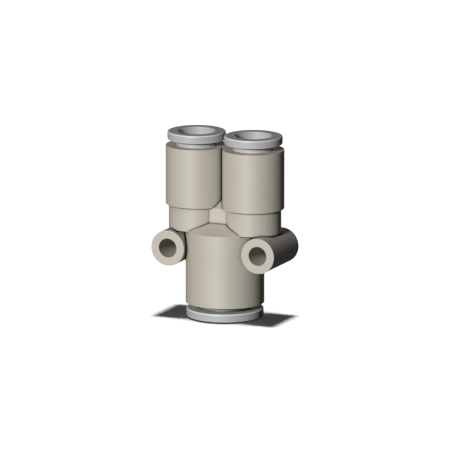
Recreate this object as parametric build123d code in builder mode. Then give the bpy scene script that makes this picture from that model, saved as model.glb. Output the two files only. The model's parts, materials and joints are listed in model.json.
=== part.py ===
from build123d import *
from dataclasses import dataclass
from math import cos, pi, radians, sin, tan
import os

# A push-in union Y for pneumatic tubing: one large tube below, two small tubes above, and two
# cross-wise mounting tubes. Millimetres, +Z up. The fitting stands on the large port's release
# button, and the origin is the centre of that button's end face. +X points to the right branch.

# Tubes that the ports take
small_tube_diameter = 6.0
large_tube_diameter = 8.0
tube_clearance = 0.05

# Moulded body, outside
small_port_wall = 2.2
large_port_wall = 2.6
trunk_length = 12.3
neck_step = 0.52
neck_length = 4.07
sleeve_length = 10.0
sleeve_overlap = 0.05
shoulder_height = 1.5
web_thickness = 6.0
web_roof_angle = 35.0

# Mounting tubes
screw_hole_diameter = 3.2
mounting_wall = 1.4
mounting_length = 10.4
mounting_overlap = 0.05

# Moulded body, inside
socket_wall = 0.9
seal_wall = 1.15
small_socket_depth = 11.1
large_socket_depth = 10.85
small_bore_diameter = 4.6
neck_floor = 0.95
crossover_reach = 0.85
crossover_height = 1.3
crossover_wall = 1.5

# Release buttons
small_flange_step = 0.3
large_flange_step = 0.12
flange_thickness = 1.4
flange_chamfer = 0.25
button_gap = 0.95
button_wall = 0.4
button_play = 0.05
lip_height = 0.2
nose_length = 0.85

# Guide rings, collets, chucks and seals
running_clearance = 0.05
seating_clearance = 0.02
guide_collar = 1.5
guide_length = 4.7
guide_leg_width = 1.2
guide_leg_inset = 0.1
guide_wedge_taper = 0.2
collet_fingers = 6
collet_clearance = 0.1
collet_foot = 0.6
collet_foot_clearance = 0.1
collet_height = 1.9
collet_slit_width = 0.4
chuck_thickness = 0.2
chuck_teeth = 8
chuck_tooth_reach = 0.6
chuck_tooth_angle = 48.0
chuck_bite = 0.08
chuck_slot_width = 0.4
seal_space_height = 2.0
seal_height = 1.2
seal_bite = 0.15

# Heights up the body, worked out from the lengths above
trunk_mouth_z = flange_thickness + button_gap
trunk_top_z = trunk_mouth_z + trunk_length
shoulder_top_z = trunk_top_z + shoulder_height
sleeve_bottom_z = trunk_top_z + neck_length
sleeve_mouth_z = sleeve_bottom_z + sleeve_length

# Places across the body
trunk_radius = large_tube_diameter / 2 + large_port_wall
sleeve_radius = small_tube_diameter / 2 + small_port_wall
neck_radius = sleeve_radius - neck_step
branch_x = sleeve_radius - sleeve_overlap / 2
branch_places = [(-branch_x, 0), (branch_x, 0)]
screw_hole_radius = screw_hole_diameter / 2
mounting_radius = screw_hole_radius + mounting_wall
mounting_x = trunk_radius + screw_hole_radius
mounting_z = trunk_top_z + mounting_overlap - mounting_radius
mounting_places = [(-mounting_x, mounting_z), (mounting_x, mounting_z)]

# Depths below a port's mouth, shared by every piece in the port
collet_foot_depth = guide_length
chuck_depth = collet_foot_depth + collet_foot
shelf_depth = chuck_depth + chuck_thickness
seal_floor_depth = shelf_depth + seal_space_height
lip_depth = guide_collar + button_play
nose_tip_depth = lip_depth + nose_length
button_travel = button_gap - button_play


@dataclass(frozen=True)
class Port:
    """One push-in socket. Its profiles are drawn as (radius, height above the mouth)."""

    name: str
    mouth: tuple
    outward: int
    tube_radius: float
    sleeve_radius: float
    flange_radius: float
    socket_depth: float

    @property
    def axis(self):
        return Axis(self.mouth, (0, 0, self.outward))

    @property
    def section(self):
        """The plane through the port's axis, with x as radius and y pointing out of the mouth."""
        return Plane(self.mouth, x_dir=(1, 0, 0), z_dir=(0, -self.outward, 0))

    def sections(self, count):
        """The section plane in equal turns round the port's axis, one for each of a ring of tabs."""
        return [self.section.rotated((0, 0, 360 / count * turn)) for turn in range(count)]

    def across(self, depth):
        """The plane across the port's axis at a depth below the mouth, facing out of it."""
        x, y, z = self.mouth
        return Plane((x, y, z - self.outward * depth), x_dir=(1, 0, 0), z_dir=(0, 0, self.outward))

    @property
    def bore_radius(self):
        return self.tube_radius + tube_clearance

    @property
    def button_neck_radius(self):
        return self.bore_radius + button_wall

    @property
    def lip_radius(self):
        return self.button_neck_radius + lip_height

    @property
    def socket_radius(self):
        return self.sleeve_radius - socket_wall

    @property
    def seal_space_radius(self):
        return self.sleeve_radius - seal_wall

    @property
    def guide_radius(self):
        return self.socket_radius - seating_clearance

    def wedge_radius(self, depth):
        """Where the guide's legs face the axis: just clear of the button's lip, wider with depth."""
        share = (depth - guide_collar) / (guide_length - guide_collar)
        return self.lip_radius + running_clearance + share * guide_wedge_taper


ports = [
    Port(
        "trunk", (0, 0, trunk_mouth_z), -1, large_tube_diameter / 2, trunk_radius,
        trunk_radius - large_flange_step, large_socket_depth,
    ),
    Port(
        "left", (-branch_x, 0, sleeve_mouth_z), 1, small_tube_diameter / 2, sleeve_radius,
        sleeve_radius - small_flange_step, small_socket_depth,
    ),
    Port(
        "right", (branch_x, 0, sleeve_mouth_z), 1, small_tube_diameter / 2, sleeve_radius,
        sleeve_radius - small_flange_step, small_socket_depth,
    ),
]
trunk, left, right = ports


def keep(piece, label):
    """Name a finished piece and write it out."""
    piece.part.label = label
    export_step(piece.part, f"parts/{label}.step")


def side_width(radius, count, gap):
    """The width of each of a ring of flat tabs that stand at a radius, with gaps between them."""
    return 2 * radius * tan(pi / count) - gap


def moulded_body():
    """The one-piece moulding: trunk, shoulder, web, necks, sleeves and mounting tubes."""
    port_lengths = [(trunk, trunk_length), (left, sleeve_length), (right, sleeve_length)]
    trunk_seat_z = trunk_mouth_z + large_socket_depth
    crossover_top_z = trunk_top_z + neck_floor + crossover_height
    crossover_end = branch_x - small_bore_diameter / 2 + crossover_reach
    crossover_width = web_thickness - 2 * crossover_wall
    web_side_height = sleeve_bottom_z - trunk_top_z
    web_roof_height = web_thickness / 2 * tan(radians(web_roof_angle))
    mounting_ends = Plane.XZ.offset(mounting_length / 2)

    with BuildPart() as body:
        # The trunk and the two sleeves
        for port, length in port_lengths:
            with BuildSketch(port.across(0)):
                Circle(port.sleeve_radius)
            extrude(amount=-length)

        # Necks under the sleeves, standing half off the trunk
        with BuildSketch(Plane.XY.offset(trunk_top_z)):
            with Locations(*branch_places):
                Circle(neck_radius)
        extrude(amount=neck_length)

        # Shoulder: ruled from the trunk's round rim to the web's straight foot
        with BuildSketch(Plane.XY.offset(trunk_top_z)):
            Circle(trunk_radius)
            Rectangle(2 * branch_x, 2 * trunk_radius, mode=Mode.INTERSECT)
        with BuildSketch(Plane.XY.offset(shoulder_top_z)):
            Rectangle(2 * branch_x, web_thickness)
        loft(ruled=True)

        # Web between the necks, with a roof that runs up into the crevice of the sleeves
        with BuildSketch(Plane.YZ.offset(-branch_x)):
            with BuildLine():
                Polyline(
                    (-web_thickness / 2, trunk_top_z),
                    (web_thickness / 2, trunk_top_z),
                    (web_thickness / 2, trunk_top_z + web_side_height),
                    (0, trunk_top_z + web_side_height + web_roof_height),
                    (-web_thickness / 2, trunk_top_z + web_side_height),
                    close=True,
                )
            make_face()
        extrude(amount=2 * branch_x)

        # Mounting tubes, in line with the trunk's sides, just into the necks' undersides
        with BuildSketch(mounting_ends):
            with Locations(*mounting_places):
                Circle(mounting_radius)
        extrude(amount=-mounting_length)
        with BuildSketch(mounting_ends):
            with Locations(*mounting_places):
                Circle(screw_hole_radius)
        extrude(amount=-mounting_length, mode=Mode.SUBTRACT)

        # Sockets: cassette space, shelf for the chuck, seal space, and the tube's seat
        for port in ports:
            with BuildSketch(port.section):
                with BuildLine():
                    Polyline(
                        (0, 0),
                        (port.socket_radius, 0),
                        (port.socket_radius, -shelf_depth),
                        (port.seal_space_radius, -shelf_depth),
                        (port.seal_space_radius, -seal_floor_depth),
                        (port.bore_radius, -seal_floor_depth),
                        (port.bore_radius, -port.socket_depth),
                        (0, -port.socket_depth),
                        close=True,
                    )
                make_face()
            revolve(axis=port.axis, mode=Mode.SUBTRACT)

        # Air ways: a slot across above the trunk's seat, and a bore in each neck
        with BuildSketch(Plane.XY.offset(trunk_seat_z)):
            Rectangle(2 * crossover_end, crossover_width)
        extrude(amount=crossover_top_z - trunk_seat_z, mode=Mode.SUBTRACT)
        with BuildSketch(Plane.XY.offset(trunk_top_z + neck_floor)):
            with Locations(*branch_places):
                Circle(small_bore_diameter / 2)
        extrude(amount=sleeve_mouth_z - trunk_top_z - neck_floor, mode=Mode.SUBTRACT)
    return body


def release_button(port):
    """The pale ring that a finger presses: flange, neck, retaining lip and conical nose."""
    flange_back = button_gap
    flange_face = button_gap + flange_thickness
    with BuildPart() as button:
        with BuildSketch(port.section):
            with BuildLine():
                Polyline(
                    (port.bore_radius, -nose_tip_depth),
                    (port.lip_radius, -lip_depth),
                    (port.button_neck_radius, -lip_depth),
                    (port.button_neck_radius, flange_back),
                    (port.flange_radius, flange_back),
                    (port.flange_radius, flange_face - flange_chamfer),
                    (port.flange_radius - flange_chamfer, flange_face),
                    (port.bore_radius, flange_face),
                    close=True,
                )
            make_face()
        revolve(axis=port.axis)
    return button


def guide_ring(port):
    """The ring fixed in the mouth: a collar round the button's neck, and wedge-faced legs."""
    neck_hole_radius = port.button_neck_radius + running_clearance
    leg_back_radius = port.guide_radius - guide_leg_inset
    with BuildPart() as guide:
        with BuildSketch(port.across(0)):
            Circle(port.guide_radius)
            Circle(neck_hole_radius, mode=Mode.SUBTRACT)
        extrude(amount=-guide_collar)
        with BuildSketch(*port.sections(collet_fingers)):
            with BuildLine():
                Polyline(
                    (port.wedge_radius(guide_collar), -guide_collar),
                    (leg_back_radius, -guide_collar),
                    (leg_back_radius, -guide_length),
                    (port.wedge_radius(guide_length), -guide_length),
                    close=True,
                )
            make_face()
        extrude(amount=guide_leg_width / 2, both=True)
    return guide


def collet(port):
    """The fingered ring between guide and chuck, bevelled to take the pressed button's nose."""
    inner_radius = port.tube_radius + collet_clearance
    top_depth = collet_foot_depth - collet_height
    pressed_tip_depth = nose_tip_depth + button_travel
    nose_slope = nose_length / (port.lip_radius - port.bore_radius)
    bevel_bottom_radius = port.bore_radius + running_clearance
    bevel_top_radius = bevel_bottom_radius + (pressed_tip_depth - top_depth) / nose_slope
    bevel_depth = pressed_tip_depth - (inner_radius - bevel_bottom_radius) * nose_slope
    with BuildPart() as fingered_ring:
        with BuildSketch(port.across(collet_foot_depth)):
            Circle(port.socket_radius - collet_foot_clearance)
            RegularPolygon(
                inner_radius,
                collet_fingers,
                major_radius=False,
                rotation=180 / collet_fingers,
                mode=Mode.SUBTRACT,
            )
        extrude(amount=-collet_foot)
        with BuildSketch(*port.sections(collet_fingers)):
            with BuildLine():
                Polyline(
                    (inner_radius, -collet_foot_depth),
                    (inner_radius, -bevel_depth),
                    (bevel_top_radius, -top_depth),
                    (port.wedge_radius(top_depth) - running_clearance, -top_depth),
                    (port.wedge_radius(collet_foot_depth) - running_clearance, -collet_foot_depth),
                    close=True,
                )
            make_face()
        extrude(amount=side_width(inner_radius, collet_fingers, collet_slit_width) / 2, both=True)
    return fingered_ring


def chuck(port):
    """The stamped steel gripping ring: a flat rim with teeth bent down towards the tube's seat."""
    bite_radius = port.tube_radius - chuck_bite
    hinge_radius = bite_radius + chuck_tooth_reach
    angle = radians(chuck_tooth_angle)
    tip_depth = chuck_depth + chuck_tooth_reach * tan(angle)
    with BuildPart() as toothed_ring:
        with BuildSketch(port.across(chuck_depth)):
            Circle(port.socket_radius - collet_foot_clearance)
            RegularPolygon(
                hinge_radius,
                chuck_teeth,
                major_radius=False,
                rotation=180 / chuck_teeth,
                mode=Mode.SUBTRACT,
            )
        extrude(amount=-chuck_thickness)
        with BuildSketch(*port.sections(chuck_teeth)):
            with BuildLine():
                Polyline(
                    (hinge_radius, -chuck_depth),
                    (bite_radius, -tip_depth),
                    (bite_radius + chuck_thickness * sin(angle), -tip_depth - chuck_thickness * cos(angle)),
                    (hinge_radius + chuck_thickness * tan(angle / 2), -shelf_depth),
                    close=True,
                )
            make_face()
        extrude(amount=side_width(bite_radius, chuck_teeth, chuck_slot_width) / 2, both=True)
    return toothed_ring


def seal(port):
    """The square-cut rubber ring on the seal space's floor, tight in it and on the tube."""
    with BuildPart() as ring:
        with BuildSketch(port.across(seal_floor_depth)):
            Circle(port.seal_space_radius - seating_clearance)
            Circle(port.tube_radius - seal_bite, mode=Mode.SUBTRACT)
        extrude(amount=seal_height)
    return ring


os.makedirs("parts", exist_ok=True)

keep(moulded_body(), "body")
for port in ports:
    keep(release_button(port), f"{port.name}_release_button")
    keep(guide_ring(port), f"{port.name}_guide_ring")
    keep(collet(port), f"{port.name}_collet")
    keep(chuck(port), f"{port.name}_chuck")
    keep(seal(port), f"{port.name}_seal")
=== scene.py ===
import json
from math import cos, pi, radians, sin

import bmesh
import bpy
import numpy as np
from bpy.props import FloatProperty, FloatVectorProperty, IntProperty, PointerProperty
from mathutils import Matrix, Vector


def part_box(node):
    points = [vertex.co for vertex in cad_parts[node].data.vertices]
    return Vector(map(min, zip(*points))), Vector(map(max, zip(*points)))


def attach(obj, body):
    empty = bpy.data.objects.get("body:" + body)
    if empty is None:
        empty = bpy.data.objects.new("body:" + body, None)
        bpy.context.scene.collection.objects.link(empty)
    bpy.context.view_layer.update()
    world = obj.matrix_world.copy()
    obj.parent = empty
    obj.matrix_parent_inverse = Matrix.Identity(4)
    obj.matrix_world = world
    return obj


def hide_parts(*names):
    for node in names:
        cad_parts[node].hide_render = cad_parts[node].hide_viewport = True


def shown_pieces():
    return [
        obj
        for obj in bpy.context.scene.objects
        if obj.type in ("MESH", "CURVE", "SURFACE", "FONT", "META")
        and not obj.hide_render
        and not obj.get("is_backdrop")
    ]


bl_info = {
    "name": "Tubing Y Connector",
    "version": (1, 0, 0),
    "blender": (4, 5, 0),
    "location": "3D View > Sidebar > Tubing Y",
    "description": "Dresses the packed push-in Y fitting: moulding, rings and stage",
    "category": "Object",
}

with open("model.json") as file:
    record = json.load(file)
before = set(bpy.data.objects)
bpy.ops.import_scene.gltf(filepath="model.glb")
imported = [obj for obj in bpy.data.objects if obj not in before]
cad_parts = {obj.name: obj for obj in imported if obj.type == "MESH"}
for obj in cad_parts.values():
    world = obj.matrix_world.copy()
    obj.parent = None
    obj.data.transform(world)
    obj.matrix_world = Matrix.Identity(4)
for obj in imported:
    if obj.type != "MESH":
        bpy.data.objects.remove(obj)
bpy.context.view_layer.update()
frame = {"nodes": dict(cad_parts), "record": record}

MM = 0.001
PORT_NAMES = ("trunk", "left", "right")
INNER_KINDS = ("guide_ring", "collet", "chuck", "seal")
WHITE = (1.0, 1.0, 1.0, 1.0)


class Port:
    """One push-in port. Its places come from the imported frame, in metres."""

    def __init__(self, name):
        button_low, button_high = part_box(f"{name}_release_button")
        guide_low, guide_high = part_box(f"{name}_guide_ring")
        mount = next(m for m in frame["record"]["mounts"] if m["name"] == f"{name}_tube_port")
        self.name = name
        self.outward = 1 if mount["axis"][2] > 0 else -1
        self.x = (button_low.x + button_high.x) / 2
        self.mouth_z = guide_high.z if self.outward > 0 else guide_low.z
        face_z = button_high.z if self.outward > 0 else button_low.z
        tip_z = button_low.z if self.outward > 0 else button_high.z
        self.face = (face_z - self.mouth_z) * self.outward
        self.tip = (tip_z - self.mouth_z) * self.outward
        self.flange_radius = (button_high.x - button_low.x) / 2
        self.guide_radius = (guide_high.x - guide_low.x) / 2
        self.bore_radius = mount["dims"]["r_mm"] * MM


class TubingYSizes(bpy.types.PropertyGroup):
    """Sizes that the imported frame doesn't state."""

    flange_thickness: FloatProperty(
        name="Flange thickness", description="Thickness of a release ring's flange",
        default=1.4 * MM, unit="LENGTH",
    )
    ring_wall: FloatProperty(
        name="Ring wall", description="Wall of a release ring's neck",
        default=0.4 * MM, unit="LENGTH",
    )
    lip_height: FloatProperty(
        name="Lip height", description="How far a release ring's retaining lip stands off its neck",
        default=0.2 * MM, unit="LENGTH",
    )
    nose_length: FloatProperty(
        name="Nose length", description="Length of a release ring's cone, from the lip to its tip",
        default=0.85 * MM, unit="LENGTH",
    )
    flange_rounding: FloatProperty(
        name="Flange rounding", description="Rounding of a release ring's two outer edges",
        default=0.25 * MM, unit="LENGTH",
    )
    mouth_rounding: FloatProperty(
        name="Mouth rounding", description="Rounding where a release ring's bore opens",
        default=0.22 * MM, unit="LENGTH",
    )
    small_rounding: FloatProperty(
        name="Small rounding", description="Rounding of a release ring's lesser edges",
        default=0.05 * MM, unit="LENGTH",
    )
    moulding_rounding: FloatProperty(
        name="Moulding rounding", description="Rounding of the moulded body's outer edges",
        default=0.08 * MM, unit="LENGTH",
    )
    # Widths of the shade painted into the resins' creases, where less light reaches.
    painted_crease_line: FloatProperty(
        name="Crease line", description="Width of the dark line along a crease",
        default=0.36 * MM, unit="LENGTH",
    )
    painted_crease_shade: FloatProperty(
        name="Crease shade", description="Width of the faint shade along a crease",
        default=0.9 * MM, unit="LENGTH",
    )
    turn_segments: IntProperty(
        name="Turn segments", description="Steps round a release ring", default=192, min=24,
    )
    arc_steps: IntProperty(
        name="Arc steps", description="Points along each rounded corner", default=7, min=3,
    )


class TubingYColours(bpy.types.PropertyGroup):
    """The colours of the fitting's materials, in scene-linear values."""

    body: FloatVectorProperty(
        name="Body", description="Warm grey moulded polyester", subtype="COLOR",
        default=(0.385, 0.357, 0.300), min=0, max=1,
    )
    ring: FloatVectorProperty(
        name="Release ring", description="Pale grey acetal", subtype="COLOR",
        default=(0.35, 0.35, 0.354), min=0, max=1,
    )
    collet: FloatVectorProperty(
        name="Collet", description="Natural acetal", subtype="COLOR",
        default=(0.62, 0.6, 0.55), min=0, max=1,
    )
    steel: FloatVectorProperty(
        name="Chuck", description="Stainless sheet", subtype="COLOR",
        default=(0.56, 0.55, 0.53), min=0, max=1,
    )
    rubber: FloatVectorProperty(
        name="Seal", description="Black nitrile", subtype="COLOR",
        default=(0.018, 0.018, 0.019), min=0, max=1,
    )
    talc: FloatVectorProperty(
        name="Talc", description="Dusting on the seal", subtype="COLOR",
        default=(0.09, 0.09, 0.09), min=0, max=1,
    )
    floor: FloatVectorProperty(
        name="Floor", description="Pale studio floor, as the camera sees it", subtype="COLOR",
        default=(0.5, 0.5, 0.5), min=0, max=1,
    )
    floor_unseen: FloatVectorProperty(
        name="Floor, unseen", description="Dark floor, as it lights the fitting", subtype="COLOR",
        default=(0.03, 0.03, 0.03), min=0, max=1,
    )


class TubingYStage(bpy.types.PropertyGroup):
    """The view and the light."""

    view_azimuth: FloatProperty(
        name="View azimuth", description="Turn of the camera round the fitting",
        default=radians(23.9), subtype="ANGLE",
    )
    view_elevation: FloatProperty(
        name="View elevation", description="Height of the camera above the horizon",
        default=radians(12), subtype="ANGLE",
    )
    view_height: FloatProperty(
        name="View height", description="Height of the point that the camera looks at",
        default=15.35 * MM, unit="LENGTH",
    )
    view_width: FloatProperty(
        name="View width", description="Width of the picture at that point",
        default=75.25 * MM, unit="LENGTH",
    )
    view_distance: FloatProperty(
        name="View distance", description="Distance of the camera, long for little perspective",
        default=2.0, unit="LENGTH",
    )
    floor_drop: FloatProperty(
        name="Floor drop", description="Depth of the floor below the fitting, as its shadow shows",
        default=0.2 * MM, unit="LENGTH",
    )
    key_azimuth: FloatProperty(
        name="Key azimuth", description="Turn of the key light from the camera",
        default=radians(-25), subtype="ANGLE",
    )
    key_elevation: FloatProperty(
        name="Key elevation", description="Height of the key light above the horizon",
        default=radians(17), subtype="ANGLE",
    )
    key_width: FloatProperty(
        name="Key width", description="Width of the key light as the fitting sees it",
        default=radians(9), subtype="ANGLE",
    )
    key_strength: FloatProperty(
        name="Key strength", description="Strength of the light from the front left", default=4.35,
    )
    back_azimuth: FloatProperty(
        name="Back azimuth", description="Turn of the back light from the camera",
        default=radians(165), subtype="ANGLE",
    )
    back_elevation: FloatProperty(
        name="Back elevation", description="Height of the back light above the horizon",
        default=radians(3), subtype="ANGLE",
    )
    back_width: FloatProperty(
        name="Back width", description="Width of the back light as the fitting sees it",
        default=radians(20), subtype="ANGLE",
    )
    back_strength: FloatProperty(
        name="Back strength", description="Strength of the light from behind", default=3.6,
    )
    floor_width: FloatProperty(
        name="Floor width", description="Width of the floor's light, which softens the shadow",
        default=radians(9.5), subtype="ANGLE",
    )
    floor_strength: FloatProperty(
        name="Floor strength", description="Strength of the overhead light on the floor", default=6.8,
    )
    floor_glow: FloatProperty(
        name="Floor glow", description="Level that the floor's shadow doesn't fall below", default=0.03,
    )
    bore_width: FloatProperty(
        name="Bore width", description="Width of the overhead light on the rings in the ports",
        default=radians(20), subtype="ANGLE",
    )
    bore_strength: FloatProperty(
        name="Bore strength", description="Strength of the overhead light on the rings in the ports",
        default=3.0,
    )
    ambient: FloatProperty(
        name="Ambient", description="Level of the light from all round", default=0.025,
    )


def settings(group):
    """The scene's values of one property group."""
    return getattr(bpy.context.scene, f"tubing_y_{group}")


# Surfaces

def rounded_outline(corners, roundings, steps):
    """The points and outward normals of a closed outline, from arrays of corners and roundings.

    The corners run anticlockwise. A side's outward normal is its direction turned a quarter
    clockwise. A corner's arc has its centre on the bisector of the two sides' normals a and b, at
    corner - rounding * (a + b) / (1 + a.b), on the other side for an inner corner. Its points are
    centre + rounding * n, while the normal n turns evenly from a to b.
    """
    sides = np.roll(corners, -1, axis=0) - corners
    sides /= np.linalg.norm(sides, axis=1, keepdims=True)
    after = np.stack([sides[:, 1], -sides[:, 0]], axis=1)
    before = np.roll(after, 1, axis=0)
    dot = (before * after).sum(axis=1)
    turn = np.arctan2(before[:, 0] * after[:, 1] - before[:, 1] * after[:, 0], dot)
    reach = roundings * np.sign(turn)
    centres = corners - (reach / (1 + dot))[:, None] * (before + after)
    start = np.arctan2(before[:, 1], before[:, 0])
    angles = start[:, None] + turn[:, None] * np.linspace(0, 1, steps)
    normals = np.stack([np.cos(angles), np.sin(angles)], axis=2)
    points = centres[:, None, :] + reach[:, None, None] * normals
    return points.reshape(-1, 2), normals.reshape(-1, 2)


def turned_piece(name, points, normals, port, segments):
    """A ring turned round a port's axis from a closed outline of (radius, height out of the mouth).

    The surface is (x + radius * cos a, radius * sin a, mouth + outward * height), for the outline's
    points one way and the angle a the other. Both ways close on themselves.
    """
    angle = np.linspace(0, 2 * pi, segments, endpoint=False)
    across, along = np.cos(angle), np.sin(angle)
    radius, height = points[:, :1], points[:, 1:]
    lean, rise = normals[:, :1], normals[:, 1:]
    ones = np.ones(segments)
    places = np.stack(
        [port.x + radius * across, radius * along, port.mouth_z + port.outward * height * ones], axis=2
    )
    facing = np.stack([lean * across, lean * along, port.outward * rise * ones], axis=2)
    index = np.arange(len(points) * segments).reshape(len(points), segments)
    right = np.roll(index, -1, axis=1)
    quads = np.stack(
        [index, right, np.roll(right, -1, axis=0), np.roll(index, -1, axis=0)], axis=2
    ).reshape(-1, 4)
    if port.outward < 0:
        quads = quads[:, ::-1]
    return new_piece(name, places.reshape(-1, 3), quads, facing.reshape(-1, 3))


def new_piece(name, places, faces, facing=None):
    """A smooth-shaded object at the origin from arrays of points, faces and point normals."""
    mesh = bpy.data.meshes.new(name)
    mesh.from_pydata(places, [], faces)
    mesh.validate()
    mesh.polygons.foreach_set("use_smooth", np.ones(len(mesh.polygons), dtype=bool))
    if facing is not None:
        mesh.normals_split_custom_set_from_vertices(facing.tolist())
    piece = bpy.data.objects.new(name, mesh)
    bpy.context.scene.collection.objects.link(piece)
    return piece


def merged_copy(node, name, merge_step=1e-7):
    """A copy of a CAD node's surface whose loose triangles share their corners.

    Corners that fall on the same step of a fine grid are one point: the grid places are
    round(corner / step), and each triangle's corners are looked up among the first of each place.
    """
    source = frame["nodes"][node].data
    source.calc_loop_triangles()
    places = np.empty(len(source.vertices) * 3)
    source.vertices.foreach_get("co", places)
    places = places.reshape(-1, 3)
    corners = np.empty(len(source.loop_triangles) * 3, dtype=int)
    source.loop_triangles.foreach_get("vertices", corners)
    grid = np.round(places / merge_step).astype(np.int64)
    _, first, number = np.unique(grid, axis=0, return_index=True, return_inverse=True)
    triangles = number.reshape(-1)[corners].reshape(-1, 3)
    return new_piece(name, places[first], triangles)


# Materials

class Number:
    """A value that varies over a surface. Arithmetic on it adds Math nodes to its material."""

    def __init__(self, finish, socket):
        self.finish = finish
        self.socket = socket

    def calculate(self, operation, first, second):
        """The result of a Math node on two numbers."""
        node = self.finish.add("ShaderNodeMath", {"operation": operation}, {0: first, 1: second})
        return Number(self.finish, node.outputs[0])

    def __add__(self, other):
        return self.calculate("ADD", self, other)

    __radd__ = __add__

    def __sub__(self, other):
        return self.calculate("SUBTRACT", self, other)

    def __rsub__(self, other):
        return self.calculate("SUBTRACT", other, self)

    def __mul__(self, other):
        return self.calculate("MULTIPLY", self, other)

    __rmul__ = __mul__


class Finish:
    """A material with a Principled shader, and short ways to add the nodes that feed it."""

    def __init__(self, name):
        self.material = bpy.data.materials.new(name)
        self.material.use_nodes = True
        self.tree = self.material.node_tree
        self.tree.nodes.clear()
        self.shader = self.add("ShaderNodeBsdfPrincipled")
        self.output = self.add("ShaderNodeOutputMaterial").inputs["Surface"]
        self.feed(self.output, self.shader.outputs[0])
        self.place = self.add("ShaderNodeTexCoord").outputs["Object"]

    def add(self, kind, options=None, values=None):
        """A node of a kind, with its options set first and then its sockets' values or links."""
        node = self.tree.nodes.new(kind)
        for key, value in (options or {}).items():
            setattr(node, key, value)
        for key, value in (values or {}).items():
            self.feed(node.inputs[key], value)
        return node

    def feed(self, socket, value):
        """Link a socket to a value that varies, or set it."""
        value = value.socket if isinstance(value, Number) else value
        if isinstance(value, bpy.types.NodeSocket):
            self.tree.links.new(value, socket)
        else:
            socket.default_value = value

    def noise(self, size, detail=2.0, roughness=0.5, stretch=None):
        """Cloudy noise from 0 to 1 whose blotches are about a size across, in metres."""
        place = self.place
        if stretch:
            place = self.add("ShaderNodeMapping", values={"Vector": place, "Scale": stretch}).outputs[0]
        values = {"Vector": place, "Scale": 1 / size, "Detail": detail, "Roughness": roughness}
        return Number(self, self.add("ShaderNodeTexNoise", values=values).outputs["Fac"])

    def cells(self, size):
        """The distance to the nearest of scattered points about a size apart, from 0 to about 1."""
        values = {"Vector": self.place, "Scale": 1 / size}
        return Number(self, self.add("ShaderNodeTexVoronoi", values=values).outputs["Distance"])

    def attribute(self, name):
        """A number that the piece's own mesh carries."""
        return Number(self, self.add("ShaderNodeAttribute", {"attribute_name": name}).outputs["Fac"])

    def open_share(self, distance):
        """How open the piece's surface is within a distance: 1 if flat, 0.5 in a square corner."""
        options = {"samples": 16, "only_local": True}
        node = self.add("ShaderNodeAmbientOcclusion", options, {"Distance": distance})
        return Number(self, node.outputs["AO"])

    def with_painted_crease_shade(self, surface, colour):
        """A surface's colour with painted shade: a dark painted line in each crease and a faint painted
        shade beside it.

        The surface's share in the line is 3 * open - 2, so the line is full where the walls hide a
        third of the view or more.
        """
        sizes = settings("sizes")
        painted_shade_colour = shade(colour, 0.6)
        painted_line_colour = shade(colour, 0.04)
        with_painted_shade = self.blend(self.open_share(sizes.painted_crease_shade), painted_shade_colour, surface)
        return self.blend(self.open_share(sizes.painted_crease_line) * 3 - 2, painted_line_colour, with_painted_shade)

    def blend(self, share, first, second):
        """A colour between two, by a share from 0 to 1."""
        node = self.add("ShaderNodeMix", {"data_type": "RGBA"})
        inputs = {socket.identifier: socket for socket in node.inputs}
        self.feed(inputs["Factor_Float"], share)
        self.feed(inputs["A_Color"], first)
        self.feed(inputs["B_Color"], second)
        return next(s for s in node.outputs if s.identifier == "Result_Color")

    def mottled(self, share, colour, darkest, lightest):
        """A colour between two factors of itself, by a share from 0 to 1."""
        return self.blend(share, shade(colour, darkest), shade(colour, lightest))

    def relief(self, height, depth):
        """Bumps of a depth, in metres, from a height that runs from 0 to 1."""
        values = {"Height": height, "Distance": depth, "Strength": 1.0}
        self.feed(self.shader.inputs["Normal"], self.add("ShaderNodeBump", values=values).outputs[0])

    def set(self, **values):
        """Set the shader's sockets, named with underscores for spaces."""
        for key, value in values.items():
            self.feed(self.shader.inputs[key.replace("_", " ").title().replace("Ior", "IOR")], value)


def shade(colour, factor):
    """A colour scaled by a factor, as the four numbers that a socket takes."""
    return (*(min(1.0, part * factor) for part in colour), 1.0)


def moulded_resin():
    """Warm grey polyester: a fine spark-eroded texture, faint cloudiness and painted shade in its
    creases.
    """
    colour = settings("colours").body
    finish = Finish("body_resin_finish")
    cloud = finish.noise(size=4 * MM, detail=3)
    grain = finish.noise(size=0.09 * MM, detail=2, roughness=0.6)
    pits = finish.cells(size=0.16 * MM)
    tone = cloud * 0.75 + grain * 0.25
    surface = finish.mottled(tone, colour, darkest=0.955, lightest=1.045)
    # The creases get a painted shade in the base colour.
    finish.set(
        base_color=finish.with_painted_crease_shade(surface, colour),
        roughness=0.42 + grain * 0.12 + cloud * 0.06,
        specular_ior_level=0.95,
    )
    finish.relief(grain * 0.6 + pits * 0.4, depth=0.004 * MM)
    return finish.material


def ring_resin():
    """Pale grey acetal, smoother than the body, with a faint haze, painted shade in its creases, and
    glossier flange edges that get a painted highlight.
    """
    colour = settings("colours").ring
    finish = Finish("button_resin_finish")
    # The flange edges' lighter colour is a painted highlight; their lower roughness is real polishing.
    painted_highlight_colour = shade(colour, 1.7)
    cloud = finish.noise(size=2.5 * MM, detail=3)
    grain = finish.noise(size=0.07 * MM, detail=2)
    polish_and_painted_highlight = finish.attribute("edge_polish_and_painted_highlight")
    tone = cloud * 0.8 + grain * 0.2
    surface = finish.mottled(tone, colour, darkest=0.965, lightest=1.035)
    # Base colour: painted shade in the creases and a painted highlight on the flange edges.
    finish.set(
        base_color=finish.blend(polish_and_painted_highlight, finish.with_painted_crease_shade(surface, colour), painted_highlight_colour),
        roughness=0.37 + grain * 0.1 + cloud * 0.06 - polish_and_painted_highlight * 0.15,
        specular_ior_level=0.6,
    )
    finish.relief(grain, depth=0.002 * MM)
    return finish.material


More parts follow.
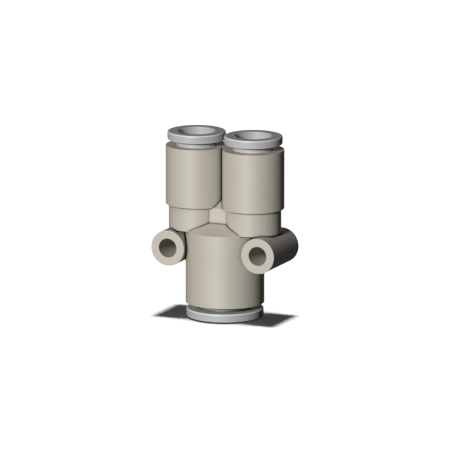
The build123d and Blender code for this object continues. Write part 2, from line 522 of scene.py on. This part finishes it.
def collet_resin():
    """Natural acetal, milky and slightly uneven."""
    colour = settings("colours").collet
    finish = Finish("collet_resin_finish")
    cloud = finish.noise(size=1.5 * MM, detail=3)
    finish.set(
        base_color=finish.mottled(cloud, colour, darkest=0.94, lightest=1.05),
        roughness=0.35 + cloud * 0.12,
    )
    finish.relief(finish.noise(size=0.08 * MM), depth=0.002 * MM)
    return finish.material


def stamped_steel():
    """Thin stainless sheet with rolling lines and slight unevenness."""
    colour = settings("colours").steel
    finish = Finish("chuck_steel_finish")
    lines = finish.noise(size=0.5 * MM, detail=3, stretch=(1, 14, 1))
    cloud = finish.noise(size=1.2 * MM)
    tone = lines * 0.6 + cloud * 0.4
    finish.set(
        base_color=finish.mottled(tone, colour, darkest=0.88, lightest=1.1),
        metallic=1.0,
        roughness=0.24 + lines * 0.16,
    )
    finish.relief(lines, depth=0.002 * MM)
    return finish.material


def seal_rubber():
    """Black nitrile with a dusting of talc."""
    colours = settings("colours")
    finish = Finish("seal_rubber_finish")
    dust = finish.noise(size=0.3 * MM, detail=4, roughness=0.7)
    finish.set(
        base_color=finish.blend(dust * 0.5, shade(colours.rubber, 0.8), shade(colours.talc, 1.0)),
        roughness=0.62 + dust * 0.2,
        specular_ior_level=0.4,
    )
    finish.relief(finish.noise(size=0.1 * MM, detail=3), depth=0.004 * MM)
    return finish.material


def dress(piece, material):
    """Give a piece one material."""
    piece.data.materials.clear()
    piece.data.materials.append(material)


# Pieces

class TUBINGY_OT_moulding(bpy.types.Operator):
    """Make the moulded body with softened edges"""

    bl_idname = "tubing_y.moulding"
    bl_label = "Moulded body"

    def execute(self, context):
        sizes = settings("sizes")
        piece = merged_copy("body", "moulded_body")
        soften(piece, sizes.moulding_rounding, [Port(name) for name in PORT_NAMES])
        dress(piece, moulded_resin())
        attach(piece, "fitting")
        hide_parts("body")
        return {"FINISHED"}


def inside_ports(places, ports, clearance=0.15 * MM):
    """Which places lie in a port's socket: within its guide ring's radius, below its mouth."""
    inside = np.zeros(len(places), dtype=bool)
    for port in ports:
        reach = np.hypot(places[:, 0] - port.x, places[:, 1])
        depth = (port.mouth_z - places[:, 2]) * port.outward
        inside |= (reach < port.guide_radius + clearance) & (depth > -clearance)
    return inside


def soften(piece, rounding, ports, sharp=radians(25), flat=radians(0.5)):
    """Round a moulding's convex sharp edges, except in its ports, with a weighted Bevel modifier."""
    solid = bmesh.new()
    solid.from_mesh(piece.data)
    bmesh.ops.dissolve_limit(solid, angle_limit=flat, verts=solid.verts, edges=solid.edges)
    weights = solid.edges.layers.float.new("bevel_weight_edge")
    edges = [edge for edge in solid.edges if edge.calc_face_angle_signed(0.0) > sharp]
    middles = np.array([(edge.verts[0].co + edge.verts[1].co) / 2 for edge in edges])
    for edge, inside in zip(edges, inside_ports(middles, ports)):
        edge[weights] = 0.0 if inside else 1.0
    solid.to_mesh(piece.data)
    solid.free()
    piece.data.set_sharp_from_angle(angle=sharp)
    bevel = piece.modifiers.new("soft_edges", "BEVEL")
    bevel.limit_method = "WEIGHT"
    bevel.width = rounding
    bevel.segments = 3
    bevel.use_clamp_overlap = False
    bevel.harden_normals = True


class TUBINGY_OT_release_rings(bpy.types.Operator):
    """Make the three release rings with rounded edges"""

    bl_idname = "tubing_y.release_rings"
    bl_label = "Release rings"

    def execute(self, context):
        material = ring_resin()
        for name in PORT_NAMES:
            piece = release_ring(Port(name))
            dress(piece, material)
            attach(piece, f"{name}_button")
            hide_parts(f"{name}_release_button")
        return {"FINISHED"}


def release_ring(port):
    """Flange, neck, retaining lip and conical nose, turned round the port's axis.

    Each corner of the outline is a radius, a height out of the mouth, a rounding and a flag for
    polishing and painted highlight. The point attribute that carries it is sin(pi * t) over each of the
    flange's outer roundings, where t runs from 0 to 1 along the arc, and 0 elsewhere.
    """
    sizes = settings("sizes")
    small = sizes.small_rounding
    neck = port.bore_radius + sizes.ring_wall
    lip = neck + sizes.lip_height
    lip_back = port.tip + sizes.nose_length
    flange_back = port.face - sizes.flange_thickness
    corners = np.array([
        (port.bore_radius, port.tip, small / 2, 0),
        (lip, lip_back, small / 2, 0),
        (neck, lip_back, small, 0),
        (neck, flange_back, small * 2, 0),
        (port.flange_radius, flange_back, sizes.flange_rounding, 1),
        (port.flange_radius, port.face, sizes.flange_rounding, 1),
        (port.bore_radius, port.face, sizes.mouth_rounding, 0),
    ])
    places, roundings, polish_and_highlight_flags = corners[:, :2], corners[:, 2], corners[:, 3]
    outline, normals = rounded_outline(places, roundings, sizes.arc_steps)
    piece = turned_piece(f"{port.name}_release_ring", outline, normals, port, sizes.turn_segments)
    # Marks the flange edges for lower roughness and a painted highlight.
    over_arc = np.sin(np.linspace(0, pi, sizes.arc_steps))
    polish_and_painted_highlight = piece.data.attributes.new("edge_polish_and_painted_highlight", "FLOAT", "POINT")
    polish_and_painted_highlight.data.foreach_set("value", np.repeat(np.outer(polish_and_highlight_flags, over_arc), sizes.turn_segments))
    return piece


class TUBINGY_OT_inner_rings(bpy.types.Operator):
    """Finish the guide rings, collets, chucks and seals inside the ports"""

    bl_idname = "tubing_y.inner_rings"
    bl_label = "Inner rings"

    def execute(self, context):
        materials = {
            "guide_ring": bpy.data.materials["body_resin_finish"],
            "collet": collet_resin(),
            "chuck": stamped_steel(),
            "seal": seal_rubber(),
        }
        for name in PORT_NAMES:
            for kind, material in materials.items():
                dress(frame["nodes"][f"{name}_{kind}"], material)
        return {"FINISHED"}


class TUBINGY_OT_stage(bpy.types.Operator):
    """Set up the floor, the lights and the camera"""

    bl_idname = "tubing_y.stage"
    bl_label = "Stage"

    def execute(self, context):
        scene = context.scene
        scene.view_settings.view_transform = "Standard"
        stage = settings("stage")
        floor = studio_floor(stage.floor_drop)
        floor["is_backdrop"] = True
        lit_pieces = collection_of("lit_pieces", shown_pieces())
        lit_floor = collection_of("lit_floor", [floor])
        insides = [frame["nodes"][f"{name}_{kind}"] for name in PORT_NAMES for kind in INNER_KINDS]
        lit_insides = collection_of("lit_insides", insides)
        azimuth = stage.view_azimuth
        key = direction(azimuth + stage.key_azimuth, stage.key_elevation)
        back = direction(azimuth + stage.back_azimuth, stage.back_elevation)
        above = Vector((0, 0, 1))
        lamp("key_light", key, stage.key_strength, stage.key_width, lit_pieces)
        lamp("back_light", back, stage.back_strength, stage.back_width, lit_pieces, glossy=False)
        lamp("floor_light", above, stage.floor_strength, stage.floor_width, lit_floor)
        lamp("bore_light", above, stage.bore_strength, stage.bore_width, lit_insides)
        studio_world(stage.ambient)
        scene.camera = studio_camera(stage)
        return {"FINISHED"}


def direction(azimuth, elevation):
    """The way from the fitting to a point at an azimuth and elevation, as the views count them."""
    level = cos(elevation)
    return Vector((sin(azimuth) * level, -cos(azimuth) * level, sin(elevation)))


def collection_of(name, members):
    """A collection that only says which objects a lamp lights."""
    group = bpy.data.collections.new(name)
    for member in members:
        group.objects.link(member)
    return group


def lamp(name, towards, strength, width, lit, glossy=True):
    """A distant soft lamp that lights one collection's objects, with or without a gloss."""
    light = bpy.data.lights.new(name, "SUN")
    light.energy = strength
    light.angle = width
    holder = bpy.data.objects.new(name, light)
    holder.rotation_mode = "QUATERNION"
    holder.rotation_quaternion = towards.to_track_quat("Z", "Y")
    holder.light_linking.receiver_collection = lit
    holder.visible_glossy = glossy
    bpy.context.scene.collection.objects.link(holder)


def studio_floor(drop, radius=1.0, steps=96):
    """A round pale floor: a centre point and the points radius * (cos a, sin a), all a drop below 0."""
    angle = np.linspace(0, 2 * pi, steps, endpoint=False)
    rim = np.stack([radius * np.cos(angle), radius * np.sin(angle), np.zeros(steps)], axis=1)
    places = np.vstack([np.zeros((1, 3)), rim]) - (0, 0, drop)
    index = np.arange(1, steps + 1)
    faces = np.stack([np.zeros(steps, dtype=int), index, np.roll(index, -1)], axis=1)
    floor = new_piece("studio_floor", places, faces)
    dress(floor, floor_finish())
    return floor


def floor_finish():
    """White where the camera sees it, with the fitting's shadow, and dark to the fitting itself."""
    colours = settings("colours")
    finish = Finish("floor_finish")
    finish.set(
        base_color=shade(colours.floor, 1.0),
        roughness=1.0,
        specular_ior_level=0.0,
        emission_color=WHITE,
        emission_strength=settings("stage").floor_glow,
    )
    seen = finish.add("ShaderNodeLightPath").outputs["Is Camera Ray"]
    unseen_colour = shade(colours.floor_unseen, 1.0)
    dark = finish.add("ShaderNodeBsdfDiffuse", values={"Color": unseen_colour}).outputs[0]
    mix = finish.add("ShaderNodeMixShader", values={0: seen, 1: dark, 2: finish.shader.outputs[0]})
    finish.feed(finish.output, mix.outputs[0])
    return finish.material


def studio_world(ambient):
    """White where the camera sees it, and a low even light on everything."""
    world = bpy.data.worlds.new("studio_world")
    world.use_nodes = True
    tree = world.node_tree
    tree.nodes.clear()
    seen = tree.nodes.new("ShaderNodeLightPath").outputs["Is Camera Ray"]
    mix = tree.nodes.new("ShaderNodeMixShader")
    tree.links.new(seen, mix.inputs[0])
    for index, strength in ((1, ambient), (2, 1.0)):
        background = tree.nodes.new("ShaderNodeBackground")
        background.inputs["Color"].default_value = WHITE
        background.inputs["Strength"].default_value = strength
        tree.links.new(background.outputs[0], mix.inputs[index])
    output = tree.nodes.new("ShaderNodeOutputWorld")
    tree.links.new(mix.outputs[0], output.inputs["Surface"])
    bpy.context.scene.world = world


def studio_camera(stage):
    """A far camera with a long lens, so that the picture is nearly without perspective."""
    data = bpy.data.cameras.new("studio_camera")
    data.lens = data.sensor_width * stage.view_distance / stage.view_width
    data.clip_start = 0.1
    data.clip_end = 10.0
    camera = bpy.data.objects.new("studio_camera", data)
    back = direction(stage.view_azimuth, stage.view_elevation)
    camera.location = Vector((0, 0, stage.view_height)) + back * stage.view_distance
    camera.rotation_mode = "QUATERNION"
    camera.rotation_quaternion = back.to_track_quat("Z", "Y")
    bpy.context.scene.collection.objects.link(camera)
    return camera


# The add-on

class TUBINGY_PT_panel(bpy.types.Panel):
    """The fitting's pieces and their sizes, colours and stage"""

    bl_idname = "TUBINGY_PT_panel"
    bl_label = "Tubing Y connector"
    bl_space_type = "VIEW_3D"
    bl_region_type = "UI"
    bl_category = "Tubing Y"

    def draw(self, context):
        for operator in OPERATORS:
            self.layout.operator(operator.bl_idname)
        for name, group in GROUPS.items():
            box = self.layout.box()
            for key in group.__annotations__:
                box.prop(settings(name), key)


OPERATORS = (
    TUBINGY_OT_moulding,
    TUBINGY_OT_release_rings,
    TUBINGY_OT_inner_rings,
    TUBINGY_OT_stage,
)
GROUPS = {"sizes": TubingYSizes, "colours": TubingYColours, "stage": TubingYStage}


def register():
    """Register the groups, operators and panel, and put the groups on the scene."""
    for kind in (*GROUPS.values(), *OPERATORS, TUBINGY_PT_panel):
        bpy.utils.register_class(kind)
    for name, group in GROUPS.items():
        setattr(bpy.types.Scene, f"tubing_y_{name}", PointerProperty(type=group))


def unregister():
    """Take the groups off the scene and unregister everything."""
    for name in GROUPS:
        delattr(bpy.types.Scene, f"tubing_y_{name}")
    for kind in (TUBINGY_PT_panel, *reversed(OPERATORS), *reversed(GROUPS.values())):
        bpy.utils.unregister_class(kind)


def main():
    """Register the add-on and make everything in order."""
    register()
    bpy.ops.tubing_y.moulding()
    bpy.ops.tubing_y.release_rings()
    bpy.ops.tubing_y.inner_rings()
    bpy.ops.tubing_y.stage()


if __name__ == "__main__":
    main()
